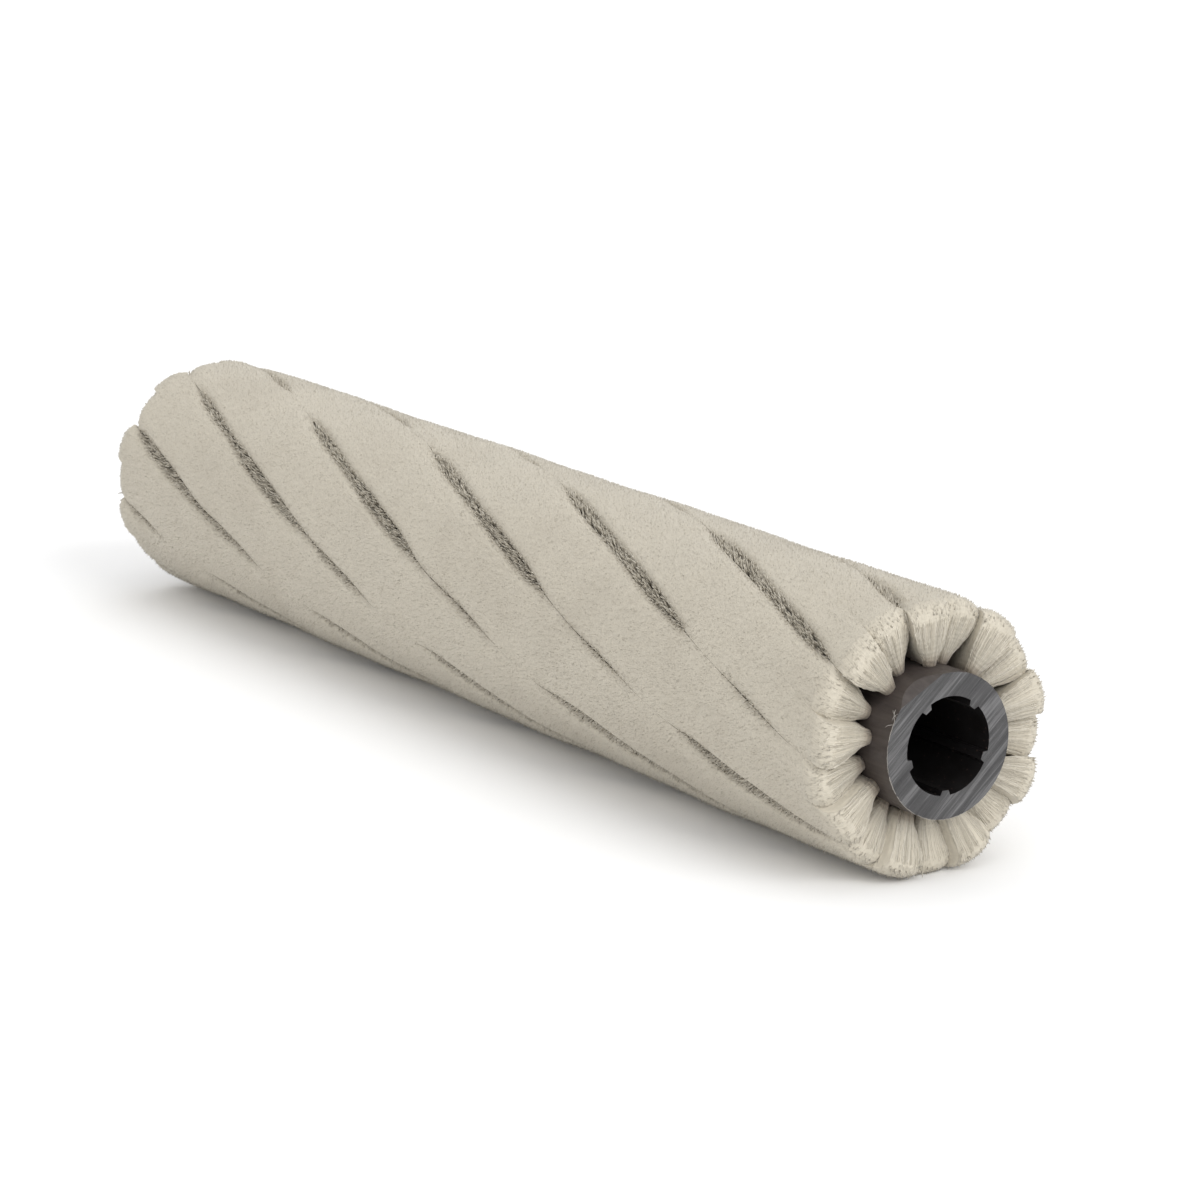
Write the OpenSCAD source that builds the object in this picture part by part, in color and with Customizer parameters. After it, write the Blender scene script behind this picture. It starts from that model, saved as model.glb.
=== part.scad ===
// Roller brush of a floor scrubber: a plastic tube with tufts of nylon bristle set in drilled holes.
// Millimetres. The axis lies along X with the sawn, chipped end at +X, and the origin is on the
// axis at mid-length. Directions round the axis are degrees from +Y towards +Z.

/* [Tube] */
// Outer diameter of the tube
tube_d = 55; // [52:0.5:60]
// Diameter of the bore between its keys
bore_d = 37.2; // [32:0.2:38]
// Length of the tube
tube_length = 570; // [420:5:700]

/* [Drive keys] */
// Number of keys that stand in the bore
key_count = 5; // [3:1:6]
// Width of a key where it leaves the bore wall
key_root_w = 4.4; // [4.2:0.1:6]
// Width of a key at its crown
key_crown_w = 2.8; // [2:0.1:4]
// Height of a key above the bore wall
key_h = 2; // [1:0.1:3]
// Direction of the first key
key_direction = 51; // [0:1:71]

/* [Chipped rim] */
// Width of the flat broken off the rim at the +X end
chip_w = 21; // [12:0.5:24]
// Direction of the middle of that flat
chip_direction = 118.7; // [0:0.1:360]
// How far the break runs along the tube
chip_run = 5; // [2:0.5:8]

/* [Tuft holes] */
// Diameter of a drilled hole
hole_d = 5.5; // [4.5:0.1:6]
// Depth of a drilled hole
hole_depth = 6; // [5:0.1:7]
// Distance from the end of the tube to the first hole of a leading row
first_hole = 12.6; // [12:0.2:18]
// How far the trailing row of a pair is set back from the leading one
stagger = 4.5; // [3:0.1:6]
// Number of tufts along a row
tufts_per_row = 58; // [40:1:60]
// Angle between the two rows of a pair
pair_spread = 17.3; // [16:0.1:18.5]
// Turn of a row round the tube from its first tuft to its last
row_turn = 193; // [150:1:230]
// Direction of the first tuft of the first leading row
lead_direction = 90; // [0:1:360]
// Rings of holes drilled at each end; the others are under the bristles and left out
drilled_rings = 3; // [1:1:5]
// Diameter of the wire that anchors a tuft
anchor_d = 0.9; // [0.6:0.1:1.2]

/* [Bristles] */
// Diameter over the bristle tips
brush_d = 106.6; // [98:0.2:114]
// Depth of the groove between two pairs of rows
groove_depth = 2.6; // [1:0.1:4]
// Width of that groove at the tips
groove_w = 1.8; // [1:0.1:3]
// How far the tips of an end tuft spread past its root
end_flare = 5.4; // [2:0.2:7]
// How much the end of a row is rounded off at the tips
end_round = 3; // [1:0.2:4]
// Width of the flat that the brush lies on
flat_w = 22; // [16:1:28]

/* [Hidden] */

// Two rows for each pair, as the node list names them
row_count = 18;
pair_angle = 720 / row_count;
// Clearances: a tuft in its hole, the bristles off the tube, and two rows of a pair
hole_clear = 0.1;
root_clear = 0.35;
row_clear = 0.3;
// Overlap of cutting tools past the faces that they cut
cut = 1;
// How far a tuft's root runs up into its row, and the length of a row between two sections
root_lap = 2;
section_step = 25;

tube_r = tube_d / 2;
brush_r = brush_d / 2;
tuft_d = hole_d - 2 * hole_clear;
hole_floor_r = tube_r - hole_depth;
root_r = tube_r + root_clear;
bristle_l = brush_r - root_r;
// Height at which a row's tufts have spread until they meet, and the middle of its outer flank
spread_r = root_r + 0.25 * bristle_l;
flank_r = root_r + 0.6 * bristle_l;
// Distance from the axis to the flat that the brush lies on
flat_r = sqrt(pow(brush_r, 2) - pow(flat_w / 2, 2));

lead_x = tube_length / 2 - first_hole;
shared_x = lead_x - stagger;
row_run = lead_x + shared_x;
pitch = row_run / (tufts_per_row - 1);
turn_per_mm = row_turn / row_run;
section_count = ceil(2 * shared_x / section_step);

// Angles that a row has to itself, on the side of its partner and on the side of the groove
inner_half = (pair_spread - turn_per_mm * stagger) / 2;
outer_half = pair_angle / 2 - inner_half;

function trails(row) = row % 2 == 1;
function first_x(row) = trails(row) ? shared_x : lead_x;
function last_x(row) = trails(row) ? -lead_x : -shared_x;
function start_direction(row) =
    lead_direction + pair_angle * floor(row / 2) - (trails(row) ? pair_spread : 0);
function row_direction(row, x) = start_direction(row) + turn_per_mm * (x - first_x(row));
// The groove lies past a leading row and before a trailing one
function groove_side(row) = trails(row) ? -1 : 1;

// Angle that an arc takes at a radius
function arc_angle(arc, r) = arc / r * 180 / PI;
function inner_limit(r) = inner_half - arc_angle(row_clear / 2, r);
function outer_limit(r) = outer_half - arc_angle(groove_w / 2, r);

// Cross-section of a row as [radius, angle towards the groove]
function row_section() = let (
    neck = arc_angle(tuft_d / 2, root_r),
    shoulder_r = brush_r - groove_depth
) [
    [root_r, -neck],
    [spread_r, -inner_limit(spread_r)],
    [brush_r, -inner_limit(brush_r)],
    [brush_r, 0],
    [brush_r - 0.3 * groove_depth, 0.6 * outer_limit(brush_r)],
    [shoulder_r, outer_limit(shoulder_r)],
    [flank_r, 0.55 * inner_limit(flank_r) + 0.45 * outer_limit(flank_r)],
    [spread_r, inner_limit(spread_r)],
    [root_r, neck]
];

// Middle of a section, which its end narrows towards
middle_angle = (outer_half - inner_half) / 2;
middle_r = (root_r + brush_r) / 2;

// Rounded end of a row: how far out each section lies, and the share of its width that is left
end_steps = [[0.5, 0.88], [0.85, 0.58], [1, 0.22]];

// Distance that an end tuft reaches past its centre at a radius
function end_reach(r) = tuft_d / 2 + end_flare * (r - root_r) / bristle_l;

// Stations of a row: [place along X, way to the end, share of the reach, share of the width]
function row_stations(row) = concat(
    [for (i = [len(end_steps) - 1:-1:0]) [last_x(row), -1, end_steps[i][0], end_steps[i][1]]],
    trails(row) ? [[last_x(row), 0, 0, 1]] : [],
    [for (i = [0:section_count]) [shared_x * (2 * i / section_count - 1), 0, 0, 1]],
    trails(row) ? [] : [[first_x(row), 0, 0, 1]],
    [for (step = end_steps) [first_x(row), 1, step[0], step[1]]]
);

// Keeps a point above the flat that the brush lies on
function above_flat(r, direction) = let (drop = -sin(direction)) r * drop > flat_r ? flat_r / drop : r;

// One point of a row, from a point of its section and a station
function row_point(row, r, angle, station) = let (
    out = station[2],
    x = station[0] + station[1] * out * end_reach(r),
    shrunk = middle_angle + (angle - middle_angle) * station[3],
    direction = row_direction(row, x) + groove_side(row) * shrunk,
    rounded = r - end_round * pow(out, 2) * max(0, (r - spread_r) / (brush_r - spread_r)),
    kept = above_flat(rounded, direction)
) [x, kept * cos(direction), kept * sin(direction)];

// Bristles of one row above the tube, as one skin drawn along the helix
module row_bristles(row) {
    section = row_section();
    stations = row_stations(row);
    n = len(section);
    m = len(stations);
    points = concat(
        [for (station = stations) for (p = section) row_point(row, p[0], p[1], station)],
        [for (end = [0, m - 1]) row_point(row, middle_r, middle_angle, stations[end])]
    );
    // The foot of a trailing row is split the other way, so that it bows off the tube and not into it
    skin = [for (s = [0:m - 2]) for (j = [0:n - 1]) let (
        a = s * n + j,
        b = s * n + (j + 1) % n
    ) each trails(row) && j == n - 1
        ? [[a, b, a + n], [b, b + n, a + n]]
        : [[a, b, b + n], [a, b + n, a + n]]];
    first_cap = [for (j = [0:n - 1]) [(j + 1) % n, j, m * n]];
    last_cap = [for (j = [0:n - 1]) [(m - 1) * n + j, (m - 1) * n + (j + 1) % n, m * n + 1]];
    faces = concat(skin, first_cap, last_cap);
    // The mirrored section of a trailing row needs its faces turned round
    polyhedron(points, trails(row) ? faces : [for (f = faces) [f[2], f[1], f[0]]]);
}

// Puts children at a tuft of a row, with +Z straight out from the axis
module at_tuft(row, tuft) {
    x = first_x(row) - tuft * pitch;
    translate([x, 0, 0]) rotate([row_direction(row, x) - 90, 0, 0]) children();
}

// Repeats children at the tufts of a row that stand in drilled holes
module at_drilled_tufts(row) {
    for (ring = [0:drilled_rings - 1]) {
        at_tuft(row, ring) children();
        at_tuft(row, tufts_per_row - 1 - ring) children();
    }
}

module tuft_root() {
    bottom = hole_floor_r + anchor_d + 2 * hole_clear;
    translate([0, 0, bottom]) cylinder(d = tuft_d, h = root_r + root_lap - bottom, $fn = 32);
}

module tuft_row(row) {
    color([0.87, 0.84, 0.77]) union() {
        row_bristles(row);
        at_drilled_tufts(row) tuft_root();
    }
}

// One key, from past the bore wall to its crown
module key_profile() {
    bore_r = bore_d / 2;
    polygon([
        [bore_r + cut, -key_root_w / 2],
        [bore_r - 0.1 * key_h, -key_root_w / 2],
        [bore_r - key_h, -key_crown_w / 2],
        [bore_r - key_h, key_crown_w / 2],
        [bore_r - 0.1 * key_h, key_root_w / 2],
        [bore_r + cut, key_root_w / 2]
    ]);
}

module bore_profile() {
    difference() {
        circle(d = bore_d, $fn = 96);
        for (i = [0:key_count - 1]) rotate(key_direction + i * 360 / key_count) key_profile();
    }
}

module tube_profile() {
    difference() {
        circle(d = tube_d, $fn = 96);
        bore_profile();
    }
}

// Slice that the break takes off the rim, as a block whose lower face slopes out to the surface
module rim_chip() {
    depth = tube_r - sqrt(pow(tube_r, 2) - pow(chip_w / 2, 2));
    translate([tube_length / 2, 0, 0])
        rotate([chip_direction - 90, 0, 0])
            translate([0, 0, tube_r - depth])
                rotate([0, atan(depth / chip_run), 0])
                    translate([-3 * chip_run, -tube_r, 0])
                        cube([4 * chip_run, tube_d, tube_r]);
}

module core_tube() {
    color([0.29, 0.27, 0.26]) difference() {
        // The profile's own X axis becomes +Y, and its Y axis +Z
        rotate([90, 0, 90])
            translate([0, 0, -tube_length / 2])
                linear_extrude(height = tube_length) tube_profile();
        for (row = [0:row_count - 1])
            at_drilled_tufts(row)
                translate([0, 0, hole_floor_r]) cylinder(d = hole_d, h = hole_depth + cut, $fn = 32);
        rim_chip();
    }
}

// Wire across the bottom of a hole, which the bristles of a tuft are folded over
module anchor() {
    translate([0, 0, hole_floor_r + hole_clear + anchor_d / 2])
        rotate([0, 90, 0]) cylinder(d = anchor_d, h = hole_d - 4 * hole_clear, center = true, $fn = 16);
}

module tuft_anchors() {
    color([0.72, 0.72, 0.70]) for (row = [0:row_count - 1]) at_drilled_tufts(row) anchor();
}

core_tube();
tuft_row(0);  // tuft_row_01
tuft_row(1);  // tuft_row_02
tuft_row(2);  // tuft_row_03
tuft_row(3);  // tuft_row_04
tuft_row(4);  // tuft_row_05
tuft_row(5);  // tuft_row_06
tuft_row(6);  // tuft_row_07
tuft_row(7);  // tuft_row_08
tuft_row(8);  // tuft_row_09
tuft_row(9);  // tuft_row_10
tuft_row(10);  // tuft_row_11
tuft_row(11);  // tuft_row_12
tuft_row(12);  // tuft_row_13
tuft_row(13);  // tuft_row_14
tuft_row(14);  // tuft_row_15
tuft_row(15);  // tuft_row_16
tuft_row(16);  // tuft_row_17
tuft_row(17);  // tuft_row_18
tuft_anchors();
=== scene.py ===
"""Looks of the roller brush: bristle rows, sawn tube, burrs, floor, light and camera.

Sizes are millimetres and angles degrees up to the point where a mesh is made, which is in metres.
Directions round the brush axis are counted from +Y towards +Z, as in the frame.
"""
import math

import bpy
import numpy as np
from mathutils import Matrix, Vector


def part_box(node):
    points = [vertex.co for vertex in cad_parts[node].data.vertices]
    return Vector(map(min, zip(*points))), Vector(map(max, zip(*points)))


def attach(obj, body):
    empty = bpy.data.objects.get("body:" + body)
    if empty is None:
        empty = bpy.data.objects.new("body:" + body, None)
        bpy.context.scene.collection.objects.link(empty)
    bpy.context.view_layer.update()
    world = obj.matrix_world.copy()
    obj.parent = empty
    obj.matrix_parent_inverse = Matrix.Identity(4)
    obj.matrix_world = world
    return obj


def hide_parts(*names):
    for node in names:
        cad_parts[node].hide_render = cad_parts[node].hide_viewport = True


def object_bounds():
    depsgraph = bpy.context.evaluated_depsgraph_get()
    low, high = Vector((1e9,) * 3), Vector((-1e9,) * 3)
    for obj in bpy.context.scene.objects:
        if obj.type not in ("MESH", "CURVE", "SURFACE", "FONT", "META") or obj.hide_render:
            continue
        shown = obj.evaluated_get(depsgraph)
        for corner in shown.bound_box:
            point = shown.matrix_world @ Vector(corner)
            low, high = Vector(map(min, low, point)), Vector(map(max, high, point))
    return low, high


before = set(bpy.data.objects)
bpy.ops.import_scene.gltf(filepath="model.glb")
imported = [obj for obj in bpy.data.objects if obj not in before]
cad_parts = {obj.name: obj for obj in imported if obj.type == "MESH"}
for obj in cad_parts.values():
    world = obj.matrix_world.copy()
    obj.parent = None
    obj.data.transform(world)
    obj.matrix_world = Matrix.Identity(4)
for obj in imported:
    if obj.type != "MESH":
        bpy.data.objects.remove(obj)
cad_box = [list(corner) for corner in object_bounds()]

MM = 0.001
rng = np.random.default_rng(1905)

# Tube, from the frame
tube_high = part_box("core_tube")[1]
TUBE_R = tube_high.y / MM
TUBE_END = tube_high.x / MM

# Brush, from the frame: tip radius, and the height of the flat it lies on
BRUSH_R = cad_box[1][1] / MM
FLAT_R = -cad_box[0][2] / MM

# Tuft lattice, as in the part
ROW_COUNT = 18
TUFTS_PER_ROW = 58
PAIR_ANGLE = 720 / ROW_COUNT
PAIR_SPREAD = 17.3
ROW_TURN = 193
LEAD_DIRECTION = 90
FIRST_HOLE = 12.6
STAGGER = 4.5
TUFT_R = 2.65
END_FLARE = 5.4

LEAD_X = TUBE_END - FIRST_HOLE
SHARED_X = LEAD_X - STAGGER
ROW_RUN = LEAD_X + SHARED_X
PITCH = ROW_RUN / (TUFTS_PER_ROW - 1)
TURN_PER_MM = ROW_TURN / ROW_RUN
INNER_HALF = (PAIR_SPREAD - TURN_PER_MM * STAGGER) / 2
OUTER_HALF = PAIR_ANGLE / 2 - INNER_HALF

# Bristles: where they leave the tube, and how far the loose tips stand out of the dense mass
ROOT_R = TUBE_R + 0.25
BRISTLE_L = BRUSH_R - ROOT_R
PILE = 0.8
SPREAD_R = ROOT_R + 0.25 * BRISTLE_L
# Share of the bristles' length at which a row has its full width, and how far below BRUSH_R it is trimmed
FULL_WIDTH_AT = 0.65
TRIM = 0.2
# Half of the gap between the dense masses of two pairs: where a groove stands open, and at the ends
GROOVE_HALF = 1.1
END_GROOVE_HALF = 0.02
# The dense mass sinks beside an open groove, where single bristles stand in its place
SINK = 3.5
SINK_FROM = 0.76
# How much lower the trimmed tips are: along an open groove, and at the ends along a groove and a seam
GROOVE_DROP = 0.6
END_GROOVE_DROP = 1.5
NEAR_SEAM_DROP = 0.8
FAR_SEAM_DROP = 0.2
END_FADE = 10.0
# Shade down the sides of the dense mass: how dark, where it ends, and over what share of the height it grows
SIDE_SHADE = 0.92
SHADE_END = 0.97
SHADE_SPAN = 0.42
# How dark the sunk band beside an open groove is
SUNK_SHADE = 0.55
# Slow waves in the trimmed tips: height, length along the brush, and turns round it
WAVES = ((0.30, 23.0, 3), (0.18, 9.7, 5))
# Height over which the outer corner of an end petal rounds off
SHOULDER = 7.0
# How far an end petal falls back at its two edges: seam and groove side, near and far end
NEAR_DIPS = (0.12, 0.22)
FAR_DIPS = (0.06, 1.0)
# Tufts whose drilled holes the part shows, at each end
DRILLED = 3
PLUG_R = 2.4
PLUG_DEPTH = 4.5

# Wavelength of the crimp that shows as ripples in the material, and the crimp of the long end bristles
CRIMP = 2.1
STRAND_CRIMP = 0.22
STRAND_CRIMP_RUN = 1.35
# Half widths of single bristles and of the burrs, least and most
TIP_WIDTHS = (0.36, 0.52)
GROOVE_STRAND_WIDTHS = (0.21, 0.31)
END_STRAND_WIDTHS = (0.17, 0.26)
BURR_WIDTHS = (0.10, 0.16)
CURL_WIDTHS = (0.09, 0.14)
# Brightness of the dense mass and of the bound roots, on the scale of the single bristles' tone
MASS_TONE = 0.45
PLUG_TONE = 0.4
# Torn lip on the rim of the sawn face: where each stretch starts, how far it runs, and the loose curls
BURR_DIRECTIONS = (152, 171, 196, 214, 241, 262)
BURR_TURNS = (17, 23, 16, 25, 19, 28)
CURL_DIRECTIONS = (146, 149, 152, 155)

# Mesh density
SECTION_ACROSS = 12
SECTION_UP = 9
STATION_STEP = 4.8
STATION_INSET = 1.2
TIP_SPACING = 1.2
GROOVE_STRANDS = 1350
END_STRANDS = 105
END_STRAND_RINGS = 5
PLUG_SIDES = 14
# Directions of the three corners of a bristle
CORNERS = (0, 2 * math.pi / 3, 4 * math.pi / 3)


def arc_angle(arc, r):
    """Angle in degrees that an arc takes at a radius."""
    return np.degrees(arc / r)


def smooth(t):
    """Smooth step from 0 to 1."""
    t = np.clip(t, 0, 1)
    return t * t * (3 - 2 * t)


def trails(row):
    """The second row of a pair is set back from the first at +X."""
    return row % 2 == 1


def groove_side(row):
    """The groove lies past a leading row and before a trailing one."""
    return -1 if trails(row) else 1


def first_x(row):
    """Place of a row's first tuft, towards +X."""
    return SHARED_X if trails(row) else LEAD_X


def last_x(row):
    """Place of a row's last tuft, towards -X."""
    return -LEAD_X if trails(row) else -SHARED_X


def row_direction(row, x):
    """Direction of a row's tufts at a place along the axis."""
    start = LEAD_DIRECTION + PAIR_ANGLE * (row // 2) - (PAIR_SPREAD if trails(row) else 0)
    return start + TURN_PER_MM * (x - first_x(row))


def end_share(x):
    """1 at the two ends of the brush, fading to 0 towards its middle."""
    return np.exp(-np.clip(SHARED_X - np.abs(x), 0, None) / END_FADE)


def parted(row, x):
    """How far the groove beside a row stands open along the brush: it closes in places."""
    groove = (row // 2 - (1 if trails(row) else 0)) % (ROW_COUNT // 2)
    return smooth(0.52 + 0.38 * np.sin(x / 37.0 + 2.4 * groove)
                  + 0.22 * np.sin(x / 13.0 + 1.3 * groove))


def side_angle(row, q, r, x):
    """Angle off the row's middle at a share q of its width: -1 at its partner, 1 at the groove."""
    neck = arc_angle(PLUG_R, r)
    met = smooth((r - ROOT_R) / (SPREAD_R - ROOT_R))
    opened = smooth((r - ROOT_R) / (FULL_WIDTH_AT * BRISTLE_L))
    groove_half = END_GROOVE_HALF + GROOVE_HALF * parted(row, x) * (1 - end_share(x))
    outer = OUTER_HALF - arc_angle(groove_half, r)
    inner_width = neck + (INNER_HALF - neck) * met
    outer_width = inner_width + (outer - INNER_HALF) * opened
    return np.where(q < 0, q * inner_width, q * outer_width)


def top_radius(q, x, row):
    """Radius of the trimmed tips at a share q of a row's width, with slow waves along the brush."""
    near = end_share(x)
    lobe = (GROOVE_DROP * parted(row, x) + END_GROOVE_DROP * near) * np.clip(q, 0, 1) ** 3.0
    seam = np.where(x > 0, NEAR_SEAM_DROP, FAR_SEAM_DROP) * near * np.clip(-q, 0, 1) ** 3.0
    # Waves over the whole brush, so neighbours meet at one height
    off_middle = q * np.where(q < 0, INNER_HALF, OUTER_HALF)
    direction = np.radians(row_direction(row, x) + groove_side(row) * off_middle)
    wave = sum(height * np.sin(x / length + turns * direction) for height, length, turns in WAVES)
    return BRUSH_R - TRIM - lobe - seam + wave


def sunk(q, x, row):
    """Share of the sink at a share q of a row's width."""
    return parted(row, x) * (1 - end_share(x)) * smooth((q - SINK_FROM) / (1 - SINK_FROM))


def end_reach(r):
    """How far an end tuft's bristles reach past the middle of its root."""
    return TUFT_R + END_FLARE * (r - ROOT_R) / BRISTLE_L


def petal(q, s, end):
    """Share of the reach at a share q of the width and s of the height: a finger that opens to a fan."""
    seam_dip, groove_dip = NEAR_DIPS if end > 0 else FAR_DIPS
    finger = np.sqrt(np.clip(1 - q * q, 0, 1))
    fan = 1 - np.where(q < 0, seam_dip, groove_dip) * np.abs(q) ** 2.6
    return finger + (fan - finger) * smooth(np.where(q < 0, 2.2, 1.5) * s)


def shoulder(s):
    """Share of the reach that is left at a share s of the height, where the petal's outer corner rounds."""
    turn = 1 - SHOULDER / BRISTLE_L
    return np.sqrt(np.clip(1 - (np.clip(s - turn, 0, None) / (1 - turn)) ** 2, 0, 1))


def place(row, x, r, angle):
    """Points in space, kept above the flat that the brush lies on."""
    direction = np.radians(row_direction(row, x) + groove_side(row) * angle)
    drop = -np.sin(direction)
    # Points above one another keep their order, so no face collapses on the flat
    r = np.where(r * drop > FLAT_R, FLAT_R / np.maximum(drop, 0.5) - 0.01 * (BRUSH_R + 1 - r), r)
    return np.stack([x, r * np.cos(direction), r * np.sin(direction)], axis=-1)


class Build:
    """Collects the vertices, faces and attributes of one piece."""

    def __init__(self):
        self.points = []
        self.faces = []
        self.tone = []
        self.grain = []
        self.light = []
        self.creases = []
        self.count = 0

    def add(self, points, faces, tone, grain, light):
        points = np.asarray(points, float).reshape(-1, 3)
        self.points.append(points)
        self.faces.append(np.asarray(faces, np.int64) + self.count)
        self.tone.append(np.broadcast_to(np.asarray(tone, float), (len(points),)))
        self.grain.append(np.broadcast_to(np.asarray(grain, float).reshape(-1, 3), (len(points), 3)))
        self.light.append(np.broadcast_to(np.asarray(light, float), (len(points),)))
        self.count += len(points)

    def mesh(self, name):
        points = np.concatenate(self.points) * MM
        faces = np.concatenate([f.reshape(-1, 3) for f in self.faces])
        made = bpy.data.meshes.new(name)
        made.vertices.add(len(points))
        made.vertices.foreach_set("co", points.astype(np.float32).ravel())
        made.loops.add(faces.size)
        made.loops.foreach_set("vertex_index", faces.astype(np.int32).ravel())
        made.polygons.add(len(faces))
        made.polygons.foreach_set("loop_start", np.arange(0, faces.size, 3, dtype=np.int32))
        made.update(calc_edges=True)
        if self.creases:
            ends = np.zeros(2 * len(made.edges), np.int32)
            made.edges.foreach_get("vertices", ends)
            ends = np.sort(ends.reshape(-1, 2), axis=1).astype(np.int64)
            wanted = np.sort(np.concatenate(self.creases), axis=1)
            pair_number = (len(points), 1)
            sharp = np.isin(ends @ pair_number, wanted @ pair_number)
            made.attributes.new("sharp_edge", "BOOLEAN", "EDGE").data.foreach_set("value", sharp)
        for label, values in (("tone", self.tone), ("light", self.light)):
            attribute = made.attributes.new(label, "FLOAT", "POINT")
            attribute.data.foreach_set("value", np.concatenate(values).astype(np.float32))
        grain = made.attributes.new("grain", "FLOAT_VECTOR", "POINT")
        grain.data.foreach_set("vector", np.concatenate(self.grain).astype(np.float32).ravel())
        return made


def quads(a, b, c, d):
    """Two triangles for each quad of four index arrays."""
    a, b, c, d = (np.asarray(v).ravel() for v in (a, b, c, d))
    return np.concatenate([np.stack([a, b, c], -1), np.stack([a, c, d], -1)])


def outward(faces, row):
    """Faces laid out for a trailing row, turned over for its mirror image, the leading row."""
    return faces if trails(row) else faces[:, ::-1]


def section_grid(row, station_x, end):
    """Grid over a row's cross-section, domed into a petal where end isn't 0: points, grain and light."""
    shape = (SECTION_UP + 1, SECTION_ACROSS + 1)
    q = np.broadcast_to(np.linspace(-1, 1, shape[1])[None, :], shape)
    s = np.broadcast_to(np.sin(np.linspace(0, 0.5 * math.pi, shape[0]))[:, None], shape)
    x = np.full(shape, float(station_x))
    open_share = sunk(q, x, row)
    r = ROOT_R + s * (top_radius(q, x, row) - PILE - SINK * open_share - ROOT_R)
    angle = side_angle(row, q, r, x)
    light = 1 - SIDE_SHADE * smooth((SHADE_END - s) / SHADE_SPAN) * (1 - end_share(x))
    light = light * (1 - SUNK_SHADE * open_share)
    if end:
        x = x + end * end_reach(r) * petal(q, s, end) * shoulder(s)
        light = np.ones(shape)
    grain = np.stack([q * 9, np.zeros(shape), r], -1)
    return place(row, x, r, angle), grain, light


def perimeter():
    """Indices of a section grid's rim, once round."""
    across, up = SECTION_ACROSS + 1, SECTION_UP + 1
    index = np.arange(across * up).reshape(up, across)
    return np.concatenate([index[0, :], index[1:, -1], index[-1, -2::-1], index[-2:0:-1, 0]])


def add_mass(build, row):
    """The dense mass of one row, from one petal to the other."""
    rim = perimeter()
    n = len(rim)
    low, high = last_x(row), first_x(row)
    steps = int(round((high - low) / STATION_STEP))
    middle = np.linspace(low + STATION_INSET, high - STATION_INSET, steps + 1)
    stations = [(low, -1)] + [(x, 0) for x in middle] + [(high, 1)]
    rings, grains, lights = [], [], []
    for x, end in stations:
        points, grain, light = section_grid(row, x, end)
        grain = grain.reshape(-1, 3)[rim].copy()
        grain[:, 1] = x
        rings.append(points.reshape(-1, 3)[rim])
        grains.append(grain)
        lights.append(light.ravel()[rim])
    s = np.arange(len(rings) - 1)[:, None]
    j = np.arange(n)[None, :]
    a, b = s * n + j, s * n + (j + 1) % n
    # The edges along the seam and the groove are sharp, so the tops of neighbours shade as one surface
    for corner in (SECTION_ACROSS + SECTION_UP, 2 * SECTION_ACROSS + SECTION_UP):
        edge = corner + build.count + n * np.arange(len(rings) - 1)
        build.creases.append(np.stack([edge, edge + n], -1))
    build.add(np.concatenate(rings), outward(quads(a, b, b + n, a + n), row), MASS_TONE,
              np.concatenate(grains), np.concatenate(lights))
    index = np.arange((SECTION_ACROSS + 1) * (SECTION_UP + 1)).reshape(SECTION_UP + 1, -1)
    for x, end in ((low, -1), (high, 1)):
        points, grain, light = section_grid(row, x, end)
        faces = quads(index[:-1, :-1], index[:-1, 1:], index[1:, 1:], index[1:, :-1])
        faces = faces if end > 0 else faces[:, ::-1]
        build.add(points, outward(faces, row), MASS_TONE, grain, light.ravel())


def add_cones(build, foot, tip, width, tone):
    """Closed three-sided spikes from foot to tip."""
    n = len(foot)
    axis = tip - foot
    side = np.cross(axis, rng.normal(size=(n, 3)))
    side /= np.linalg.norm(side, axis=1, keepdims=True)
    other = np.cross(axis, side)
    other /= np.linalg.norm(other, axis=1, keepdims=True)
    corners = []
    for turn in CORNERS:
        corners.append(foot + width[:, None] * (math.cos(turn) * side + math.sin(turn) * other))
    points = np.stack(corners + [tip], axis=1)
    base = np.arange(n)[:, None] * 4
    faces = np.concatenate([base + np.array([f]) for f in ((0, 1, 3), (1, 2, 3), (2, 0, 3), (0, 2, 1))])
    grain = np.repeat(foot, 4, axis=0)
    light = np.tile([0.82, 0.82, 0.82, 1.0], n)
    build.add(points, faces, np.repeat(tone, 4), grain, light)


def add_strands(build, path, width, tone, root_light):
    """Closed three-sided bristles along paths of shape (count, rings, 3), drawn to a point at the tip."""
    n, rings = path.shape[:2]
    along = path[:, -1] - path[:, 0]
    side = np.cross(along, rng.normal(size=(n, 3)))
    side /= np.linalg.norm(side, axis=1, keepdims=True)
    other = np.cross(along, side)
    other /= np.linalg.norm(other, axis=1, keepdims=True)
    blocks = []
    for k in range(rings - 1):
        for turn in CORNERS:
            offset = math.cos(turn) * side + math.sin(turn) * other
            blocks.append(path[:, k] + width[:, None] * offset)
    points = np.stack(blocks + [path[:, -1]], axis=1)
    per = points.shape[1]
    local = [(0, 2, 1)]
    for k in range(rings - 2):
        for e in range(3):
            a, b = 3 * k + e, 3 * k + (e + 1) % 3
            local += [(a, b, b + 3), (a, b + 3, a + 3)]
    last = 3 * (rings - 2)
    local += [(last, last + 1, per - 1), (last + 1, last + 2, per - 1), (last + 2, last, per - 1)]
    base = np.arange(n)[:, None] * per
    faces = np.concatenate([base + np.array([f]) for f in local])
    steps = np.append(np.repeat(np.arange(rings - 1) / (rings - 1), 3), 1.0)
    build.add(points, faces, np.repeat(tone, per), np.repeat(path[:, 0], per, axis=0),
              np.tile(root_light + (1 - root_light) * steps, n))


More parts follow.
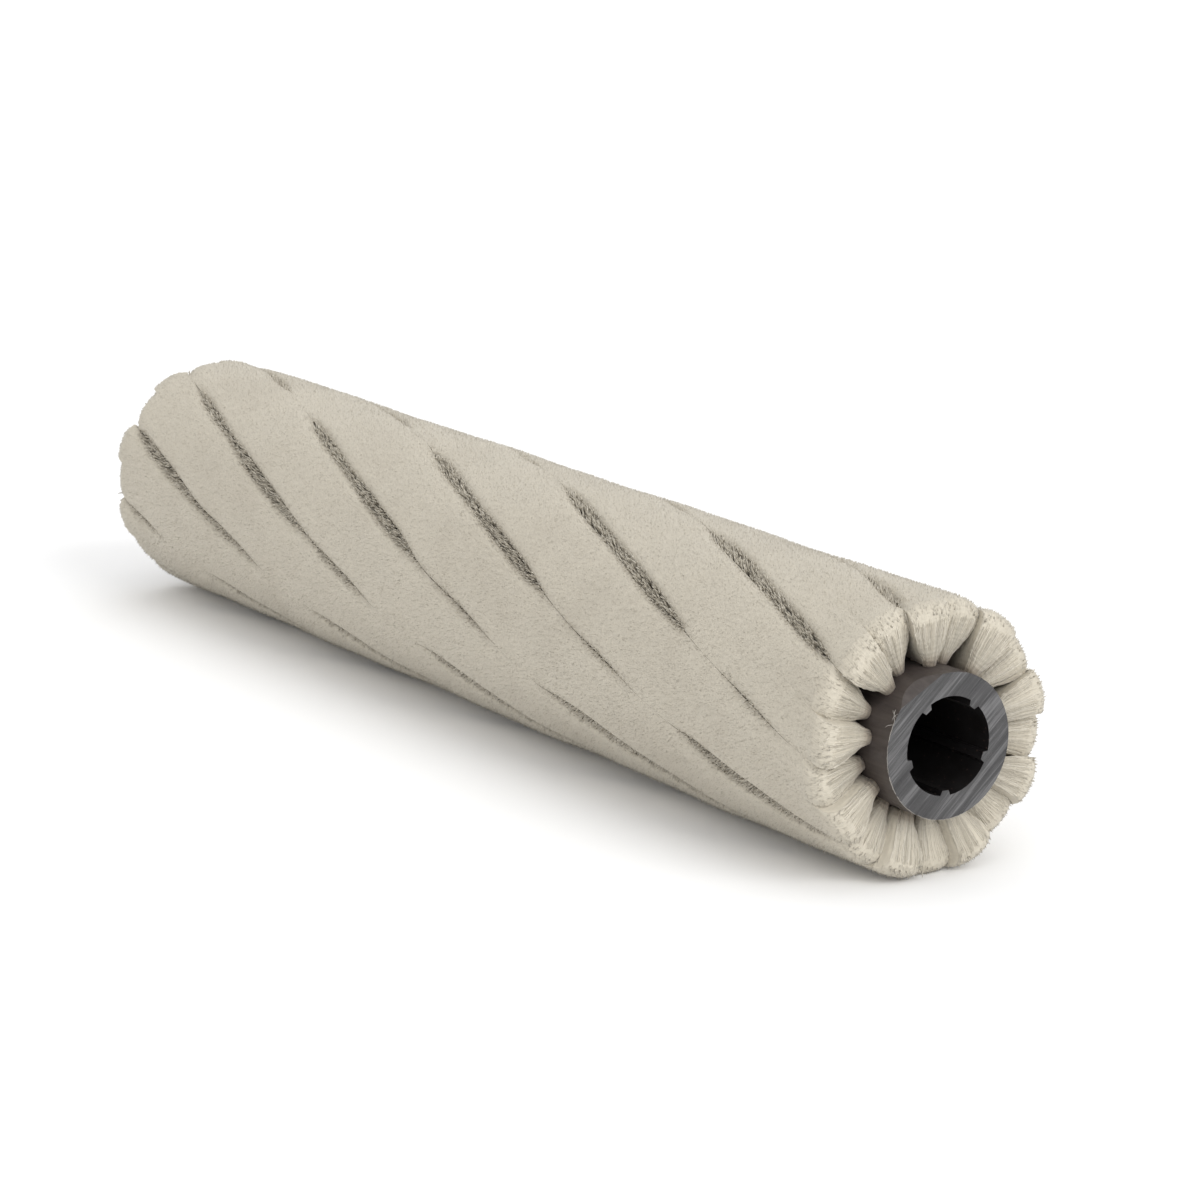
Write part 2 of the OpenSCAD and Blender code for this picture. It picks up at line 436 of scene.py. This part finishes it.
def add_tips(build, row):
    """Loose tips all over the trimmed surface of a row and over the shoulders of its two petals."""
    reach = end_reach(BRUSH_R)
    low, high = last_x(row) - reach, first_x(row) + reach
    arc = math.radians(INNER_HALF + OUTER_HALF) * BRUSH_R
    columns = int((high - low) / TIP_SPACING)
    lanes = int(arc / TIP_SPACING)
    x = low + (np.arange(columns)[:, None] + rng.uniform(0, 1, (columns, lanes))) * (high - low) / columns
    place_across = (np.arange(lanes)[None, :] + rng.uniform(0, 1, (columns, lanes))) / lanes
    angle = -INNER_HALF + place_across * (INNER_HALF + OUTER_HALF)
    x, angle = x.ravel(), angle.ravel()
    q = np.where(angle < 0, angle / INNER_HALF, angle / OUTER_HALF)
    past = np.maximum(np.maximum(x - first_x(row), last_x(row) - x), 0) / reach
    share = np.where(x > 0, petal(q, np.ones_like(q), 1), petal(q, np.ones_like(q), -1))
    kept = past < share * 0.80
    # Single bristles take the tips' place beside an open groove
    kept &= rng.uniform(size=q.shape) > 1.3 * sunk(q + 0.06, x, row)
    x, angle, q, past, share = x[kept], angle[kept], q[kept], past[kept], share[kept]
    n = len(x)
    dropped = np.sqrt(np.clip(1 - (past / share) ** 2, 0, 1))
    top = top_radius(q, x, row) - SHOULDER * (1 - dropped)
    lift = rng.uniform(-0.5, 0.2, n)
    foot = place(row, x, top - PILE - 1.3, angle)
    lean = rng.normal(0, 0.40, (2, n))
    tip = place(row, x + lean[0], top + lift, angle + arc_angle(lean[1], top))
    add_cones(build, foot, tip, rng.uniform(*TIP_WIDTHS, n), rng.uniform(0, 1, n))


def add_groove_strands(build, row):
    """Single bristles beside and across an open groove, in clumps with dark slots between the tufts."""
    n = GROOVE_STRANDS
    tuft = rng.integers(0, TUFTS_PER_ROW, n)
    fan = np.clip(rng.normal(0, 0.22, n), -0.62, 0.62) * PITCH
    x = first_x(row) - tuft * PITCH + fan
    q = rng.uniform(SINK_FROM + 0.04, 1.12, n)
    stands = rng.uniform(size=n) < 0.08 + parted(row, x) * (1 - end_share(x))
    x, q, fan = x[stands], q[stands], fan[stands]
    n = len(x)
    top = top_radius(np.minimum(q, 1), x, row)
    low = top - rng.uniform(6, 11, n)
    tip_r = top + rng.uniform(-1.1, 0.3, n)
    start_angle = np.minimum(q, 1) * OUTER_HALF - arc_angle(0.4 + 0.9 * np.clip(q - 0.9, 0, 1), low)
    end_angle = q * OUTER_HALF + arc_angle(rng.normal(0, 0.35, n), top)
    path = np.stack([
        place(row, x - 0.2 * fan, low, start_angle),
        place(row, x, low + 0.85 * (tip_r - low), 0.15 * start_angle + 0.85 * end_angle),
        place(row, x + rng.normal(0, 0.4, n), tip_r, end_angle),
    ], axis=1)
    add_strands(build, path, rng.uniform(*GROOVE_STRAND_WIDTHS, n), rng.uniform(0, 1, n), 0.86)


def add_end_strands(build, row, end):
    """Long crimped bristles that lie down the petal of an end tuft, from its hole to the shoulder."""
    n = END_STRANDS
    q = np.sin(rng.uniform(-0.5 * math.pi, 0.5 * math.pi, n)) * 0.99
    x0 = first_x(row) if end > 0 else last_x(row)
    station = np.full(n, float(x0))
    phase = rng.uniform(0, 2 * math.pi, n)
    length = rng.uniform(0.80, 0.97, n)
    proud = rng.uniform(0.0, 0.45, n)
    top = top_radius(q, station, row)
    rings = []
    for k in range(END_STRAND_RINGS + 1):
        s = k / END_STRAND_RINGS * length
        r = ROOT_R - 1.2 + s * (top - ROOT_R + 1.2 - 0.5 * PILE)
        crimp = STRAND_CRIMP * np.sin(r / STRAND_CRIMP_RUN + phase) * min(1, k)
        out = end_reach(np.maximum(r, ROOT_R)) * petal(q, s, end) * shoulder(s) + proud * s
        angle = side_angle(row, q, np.maximum(r, ROOT_R), station) + arc_angle(crimp, r)
        rings.append(place(row, x0 + end * (out - 0.15), r, angle))
    path = np.stack(rings, axis=1)
    add_strands(build, path, rng.uniform(*END_STRAND_WIDTHS, n), rng.uniform(0, 1, n), 0.8)


def add_plugs(build, row):
    """The bound roots of the tufts whose drilled holes the part shows."""
    sides = PLUG_SIDES
    turn = 2 * math.pi * np.arange(sides) / sides
    for k in [*range(DRILLED), *range(TUFTS_PER_ROW - DRILLED, TUFTS_PER_ROW)]:
        x = first_x(row) - k * PITCH
        rings = []
        for r in (TUBE_R - PLUG_DEPTH, ROOT_R + 0.6):
            across = arc_angle(PLUG_R * np.sin(turn), r)
            rings.append(place(row, x + PLUG_R * np.cos(turn), np.full(sides, r), across))
        j = np.arange(sides)
        following = (j + 1) % sides
        faces = [quads(j, following, following + sides, j + sides)]
        for base, order in ((0, 1), (sides, -1)):
            cap = np.stack([np.full(sides - 2, base), base + j[2:], base + j[1:-1]], -1)
            faces.append(cap[:, ::order])
        points = np.concatenate(rings)
        build.add(points, outward(np.concatenate(faces), row), PLUG_TONE, points, 0.5)


def add_burr(build):
    """Torn lip of plastic along the outer rim of the sawn face, with a few loose curls."""
    for start, turn in zip(BURR_DIRECTIONS, BURR_TURNS):
        along = np.radians(start + turn * np.linspace(0, 1, 13))
        r = TUBE_R - 0.05 + 0.10 * rng.uniform(-1, 1, 13)
        x = TUBE_END + 0.02 + 0.05 * rng.uniform(-1, 1, 13)
        path = np.stack([x, r * np.cos(along), r * np.sin(along)], -1)[None]
        add_strands(build, path, rng.uniform(*BURR_WIDTHS, 1), np.array([0.5]), 1.0)
    for start in CURL_DIRECTIONS:
        t = np.linspace(0, 1, 9)
        along = np.radians(start + rng.uniform(4, 9) * t * rng.choice([-1, 1]))
        r = TUBE_R + rng.uniform(0.8, 2.2) * np.sin(math.pi * 0.75 * t)
        x = TUBE_END - 0.2 - rng.uniform(0.5, 3.0) * t
        path = np.stack([x, r * np.cos(along), r * np.sin(along)], -1)[None]
        add_strands(build, path, rng.uniform(*CURL_WIDTHS, 1), np.array([0.5]), 1.0)


def add_object(name, mesh, material):
    """A new object in the scene, with one material."""
    made = bpy.data.objects.new(name, mesh)
    bpy.context.scene.collection.objects.link(made)
    mesh.materials.append(material)
    return made


# Materials: shaders work in metres, so these places are in metres too
# Distance from the axis over which the bristles' darkening towards the root fades: partly stain, partly
# painted shade
ROOT_STAIN_AND_SHADE_M = (0.0275, 0.0335)
# Distance from mid-brush over which the crimp of the end petals sets in
PETALS_FROM_M = (0.262, 0.270)
# Distance from the axis at which the painted black shade of the bore ends
BORE_SHADE_END_M = (0.0187, 0.0190)
SAW_ANGLE = 42


def node_material(name):
    """An empty node material with its shader, and a helper that adds and joins nodes."""
    material = bpy.data.materials.new(name)
    material.use_nodes = True
    tree = material.node_tree
    shader = tree.nodes["Principled BSDF"]

    def add(kind, inputs=None, **settings):
        made = tree.nodes.new(kind)
        for key, value in settings.items():
            setattr(made, key, value)
        for key, value in (inputs or {}).items():
            if isinstance(value, bpy.types.NodeSocket):
                tree.links.new(value, made.inputs[key])
            else:
                made.inputs[key].default_value = value
        return made

    return material, shader, add, tree.links.new


def ramp(add, source, stops, smooth_steps=True):
    """A colour ramp over a value, from (place, colour) stops."""
    made = add("ShaderNodeValToRGB", {"Fac": source})
    made.color_ramp.interpolation = "EASE" if smooth_steps else "LINEAR"
    elements = made.color_ramp.elements
    while len(elements) < len(stops):
        elements.new(0.5)
    for element, (position, colour) in zip(elements, stops):
        element.position = position
        element.color = (*colour, 1)
    return made.outputs["Color"]


def grey(value):
    """A colour without hue."""
    return (value, value, value)


def axis_distance(add):
    """Distance from the brush axis and place along it, both in metres."""
    coords = add("ShaderNodeTexCoord").outputs["Object"]
    split = add("ShaderNodeSeparateXYZ", {"Vector": coords})
    y2 = add("ShaderNodeMath", {0: split.outputs["Y"], 1: split.outputs["Y"]}, operation="MULTIPLY")
    z2 = add("ShaderNodeMath", {0: split.outputs["Z"], 1: split.outputs["Z"]}, operation="MULTIPLY")
    total = add("ShaderNodeMath", {0: y2.outputs[0], 1: z2.outputs[0]}, operation="ADD")
    radius = add("ShaderNodeMath", {0: total.outputs[0], 1: 0.5}, operation="POWER")
    along = add("ShaderNodeMath", {0: split.outputs["X"]}, operation="ABSOLUTE")
    return coords, radius.outputs[0], along.outputs[0]


def map_range(add, value, low, high, to_low=0.0, to_high=1.0):
    """A smooth step of a value, from one range to another."""
    made = add("ShaderNodeMapRange", {
        "Value": value, "From Min": low, "From Max": high, "To Min": to_low, "To Max": to_high,
    }, interpolation_type="SMOOTHSTEP")
    return made.outputs["Result"]


def mix(add, factor, a, b, blend="MIX"):
    """Two colours mixed by a factor: each of the three is a socket or a fixed value."""
    made = add("ShaderNodeMix", data_type="RGBA", blend_type=blend)
    for key, value in (("Factor", factor), ("A", a), ("B", b)):
        socket = [s for s in made.inputs if s.name == key and s.enabled][0]
        if isinstance(value, bpy.types.NodeSocket):
            made.id_data.links.new(value, socket)
        elif key == "Factor":
            socket.default_value = value
        else:
            socket.default_value = (*value, 1)
    return [s for s in made.outputs if s.enabled][0]


def bristle_material():
    """Crimped cream nylon: each bristle a little lighter or darker, brown with shade down in the grooves."""
    material, shader, add, link = node_material("nylon_bristle")
    coords, radius, along = axis_distance(add)
    tone = add("ShaderNodeAttribute", attribute_name="tone").outputs["Fac"]
    light = add("ShaderNodeAttribute", attribute_name="light").outputs["Fac"]
    grain = add("ShaderNodeAttribute", attribute_name="grain").outputs["Vector"]
    single = ramp(add, tone, [
        (0, (0.44, 0.400, 0.325)), (0.45, (0.545, 0.50, 0.412)), (1, (0.66, 0.615, 0.525)),
    ])
    # Streaks run from root to tip: fine across the bristles and slow along them
    stretched = add("ShaderNodeVectorMath", {0: grain, 1: (1.0, 1.0, 0.05)}, operation="MULTIPLY")
    streak = add("ShaderNodeTexNoise", {
        "Vector": stretched.outputs[0], "Scale": 1.7, "Detail": 4.0, "Roughness": 0.7,
    })
    streaks = map_range(add, streak.outputs["Fac"], 0.32, 0.68, 0.86, 1.05)
    streak_grey = add("ShaderNodeCombineColor", {0: streaks, 1: streaks, 2: streaks})
    fibre = mix(add, 1.0, single, streak_grey.outputs[0], "MULTIPLY")
    # Slow clouds of handled, slightly dusty bristle
    cloud = add("ShaderNodeTexNoise", {"Vector": coords, "Scale": 26.0, "Detail": 3.0, "Roughness": 0.6})
    dusty = map_range(add, cloud.outputs["Fac"], 0.42, 0.72, 0.0, 0.30)
    clouded = mix(add, dusty, fibre, (0.43, 0.385, 0.31))
    # The depth of a groove is brown with shade
    shaded = mix(add, light, (0.050, 0.038, 0.030), clouded)
    # Bristles are darker and browner towards their roots: partly a stain where they leave their holes, partly
    # painted shade deep among the bristles
    root = map_range(add, radius, *ROOT_STAIN_AND_SHADE_M, 0.45, 0.0)
    stained_and_shaded = mix(add, root, shaded, (0.30, 0.22, 0.16))
    link(stained_and_shaded, shader.inputs["Base Color"])
    shader.inputs["Roughness"].default_value = 0.5
    shader.inputs["Specular IOR Level"].default_value = 0.35
    shader.inputs["Sheen Weight"].default_value = 0.10
    shader.inputs["Sheen Roughness"].default_value = 0.4
    fine = add("ShaderNodeTexNoise", {"Vector": stretched.outputs[0], "Scale": 3.4, "Detail": 3.0})
    bump = add("ShaderNodeBump", {"Height": fine.outputs["Fac"], "Strength": 0.6, "Distance": 0.0006})
    # The crimp of the bristles lines up into ripples across the end petals
    drift = add("ShaderNodeTexNoise", {"Vector": coords, "Scale": 110.0, "Detail": 1.0})
    waves = add("ShaderNodeMath", {0: radius, 1: 2 * math.pi / (CRIMP * MM)}, operation="MULTIPLY")
    shifted = add("ShaderNodeMath", {
        0: drift.outputs["Fac"], 1: 16.0, 2: waves.outputs[0],
    }, operation="MULTIPLY_ADD")
    ripple = add("ShaderNodeMath", {0: shifted.outputs[0]}, operation="SINE")
    fan = map_range(add, along, *PETALS_FROM_M)
    crimped = add("ShaderNodeBump", {
        "Height": ripple.outputs[0], "Strength": fan, "Distance": 0.00004, "Normal": bump.outputs["Normal"],
    })
    link(crimped.outputs["Normal"], shader.inputs["Normal"])
    return material


def tube_material():
    """Dark grey extruded plastic: smooth outside, diagonal saw marks across the ends, painted black shade in
    the bore.
    """
    material, shader, add, link = node_material("tube_plastic")
    coords, radius, _ = axis_distance(add)
    normal = add("ShaderNodeNewGeometry").outputs["Normal"]
    facing = add("ShaderNodeSeparateXYZ", {"Vector": normal})
    flat = add("ShaderNodeMath", {0: facing.outputs["X"]}, operation="ABSOLUTE")
    face = map_range(add, flat.outputs[0], 0.85, 0.95)
    # Extruded side, with faint lines along it and rubbed patches
    drawn = add("ShaderNodeVectorMath", {0: coords, 1: (6.0, 90.0, 90.0)}, operation="MULTIPLY")
    lines = add("ShaderNodeTexNoise", {"Vector": drawn.outputs[0], "Scale": 9.0, "Detail": 4.0})
    side = ramp(add, lines.outputs["Fac"], [(0.25, (0.040, 0.032, 0.029)), (0.75, (0.058, 0.047, 0.043))])
    rub = add("ShaderNodeTexNoise", {"Vector": coords, "Scale": 130.0, "Detail": 5.0, "Roughness": 0.7})
    rubbed = map_range(add, rub.outputs["Fac"], 0.52, 0.75, 0.0, 0.5)
    side = mix(add, rubbed, side, (0.080, 0.070, 0.067))
    # Saw marks run aslant across the face
    turned = add("ShaderNodeMapping", {"Vector": coords, "Rotation": (math.radians(-SAW_ANGLE), 0, 0)})
    marks = add("ShaderNodeVectorMath", {0: turned.outputs[0], 1: (0.0, 26.0, 900.0)}, operation="MULTIPLY")
    sawn = add("ShaderNodeTexNoise", {
        "Vector": marks.outputs[0], "Scale": 1.3, "Detail": 5.0, "Roughness": 0.65,
    })
    bands = add("ShaderNodeVectorMath", {0: turned.outputs[0], 1: (0.0, 12.0, 210.0)}, operation="MULTIPLY")
    wide = add("ShaderNodeTexNoise", {"Vector": bands.outputs[0], "Scale": 1.0, "Detail": 2.0})
    both = add("ShaderNodeMath", {0: sawn.outputs["Fac"], 1: wide.outputs["Fac"]}, operation="ADD")
    cut = ramp(add, map_range(add, both.outputs[0], 0.72, 1.28), [
        (0.0, (0.022, 0.021, 0.022)), (0.55, (0.046, 0.045, 0.046)), (1.0, (0.125, 0.123, 0.125)),
    ], smooth_steps=False)
    outside = mix(add, face, side, cut)
    # Bore: painted near-black shade, with a little swarf
    inside = map_range(add, radius, *BORE_SHADE_END_M, 1.0, 0.0)
    not_face = add("ShaderNodeMath", {0: 1.0, 1: face}, operation="SUBTRACT")
    bore = add("ShaderNodeMath", {0: inside, 1: not_face.outputs[0]}, operation="MULTIPLY")
    swarf = add("ShaderNodeTexVoronoi", {"Vector": coords, "Scale": 420.0, "Randomness": 1.0})
    specks = map_range(add, swarf.outputs["Distance"], 0.10, 0.16, 0.5, 0.0)
    dark = mix(add, specks, (0.006, 0.005, 0.005), (0.13, 0.085, 0.07))
    colour = mix(add, bore.outputs[0], outside, dark)
    link(colour, shader.inputs["Base Color"])
    rough = map_range(add, rub.outputs["Fac"], 0.3, 0.7, 0.36, 0.58)
    link(rough, shader.inputs["Roughness"])
    saw_bump = add("ShaderNodeBump", {"Height": both.outputs[0], "Strength": face, "Distance": 0.0005})
    fine = add("ShaderNodeBump", {
        "Height": rub.outputs["Fac"], "Strength": 0.25, "Distance": 0.0002,
        "Normal": saw_bump.outputs["Normal"],
    })
    link(fine.outputs["Normal"], shader.inputs["Normal"])
    return material


def mottled_material(name, scale, detail, colours, **settings):
    """A plain material whose colour wavers a little between two, with shader settings by their labels."""
    material, shader, add, link = node_material(name)
    coords = add("ShaderNodeTexCoord").outputs["Object"]
    noise = add("ShaderNodeTexNoise", {"Vector": coords, "Scale": scale, "Detail": detail})
    link(ramp(add, noise.outputs["Fac"], list(zip((0.3, 0.7), colours))), shader.inputs["Base Color"])
    for label, value in settings.items():
        shader.inputs[label.replace("_", " ")].default_value = value
    return material


def wire_material():
    """Drawn steel of the anchor wires."""
    return mottled_material("anchor_wire", 900.0, 3.0, (grey(0.42), grey(0.66)), Metallic=1.0, Roughness=0.35)


def burr_material():
    """Pale torn plastic."""
    colours = ((0.20, 0.185, 0.17), (0.36, 0.34, 0.31))
    return mottled_material("torn_plastic", 700.0, 3.0, colours, Roughness=0.6)


def floor_material():
    """Pale matt studio floor."""
    colours = (grey(0.90), grey(0.92))
    return mottled_material("studio_floor", 3.0, 2.0, colours, Roughness=0.8, Specular_IOR_Level=0.1)


# Bristle rows
bristle = bristle_material()
for row in range(ROW_COUNT):
    build = Build()
    add_mass(build, row)
    add_tips(build, row)
    add_groove_strands(build, row)
    add_end_strands(build, row, -1)
    add_end_strands(build, row, 1)
    add_plugs(build, row)
    name = f"bristles_{row + 1:02d}"
    piece = add_object(name, build.mesh(name), bristle)
    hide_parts(f"tuft_row_{row + 1:02d}")
    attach(piece, "root")

# Tube and anchors
for name, material in (("core_tube", tube_material()), ("tuft_anchors", wire_material())):
    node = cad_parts[name]
    node.data.materials.clear()
    node.data.materials.append(material)

# Torn lip on the rim of the sawn face
burr_build = Build()
add_burr(burr_build)
burr = add_object("rim_burr", burr_build.mesh("rim_burr"), burr_material())
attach(burr, "root")

# Floor, world and lights
FLOOR_HALF = 9.0
floor_mesh = bpy.data.meshes.new("floor")
floor_z = -FLAT_R * MM
floor_mesh.from_pydata([
    (-FLOOR_HALF, -FLOOR_HALF, floor_z), (FLOOR_HALF, -FLOOR_HALF, floor_z),
    (FLOOR_HALF, FLOOR_HALF, floor_z), (-FLOOR_HALF, FLOOR_HALF, floor_z),
], [], [(0, 1, 2, 3)])
floor = add_object("floor", floor_mesh, floor_material())

world = bpy.data.worlds.new("studio")
bpy.context.scene.world = world
world.use_nodes = True
background = world.node_tree.nodes["Background"]
background.inputs["Color"].default_value = (1, 1, 1, 1)
background.inputs["Strength"].default_value = 0.86


def sun_light(name, towards, strength, spread):
    """A broad soft light that comes from a direction."""
    light = bpy.data.lights.new(name, "SUN")
    light.energy = strength
    light.angle = math.radians(spread)
    made = bpy.data.objects.new(name, light)
    made.location = towards
    made.rotation_euler = Vector(towards).to_track_quat("Z", "Y").to_euler()
    bpy.context.scene.collection.objects.link(made)


sun_light("key", (1.7, 0.3, 1.0), 1.5, 40)
sun_light("fill", (0.8, -1.0, 0.6), 0.5, 60)
sun_light("top", (-0.2, 0.5, 2.0), 0.5, 60)

# Camera at the photograph's viewing angle
CAMERA_FROM_END = (1.2254, -0.9422, 0.4353)
CAMERA_FORWARD = (-0.8150, 0.5270, -0.2400)
CAMERA_LENS = 132.9
SENSOR = 36
camera_data = bpy.data.cameras.new("camera")
camera_data.lens = CAMERA_LENS
camera_data.sensor_width = SENSOR
camera_data.clip_end = 50
camera = bpy.data.objects.new("camera", camera_data)
camera.location = Vector(CAMERA_FROM_END) + Vector((TUBE_END * MM, 0, 0))
camera.rotation_euler = Vector(CAMERA_FORWARD).to_track_quat("-Z", "Y").to_euler()
bpy.context.scene.collection.objects.link(camera)
bpy.context.scene.camera = camera
bpy.context.scene.view_settings.view_transform = "Standard"
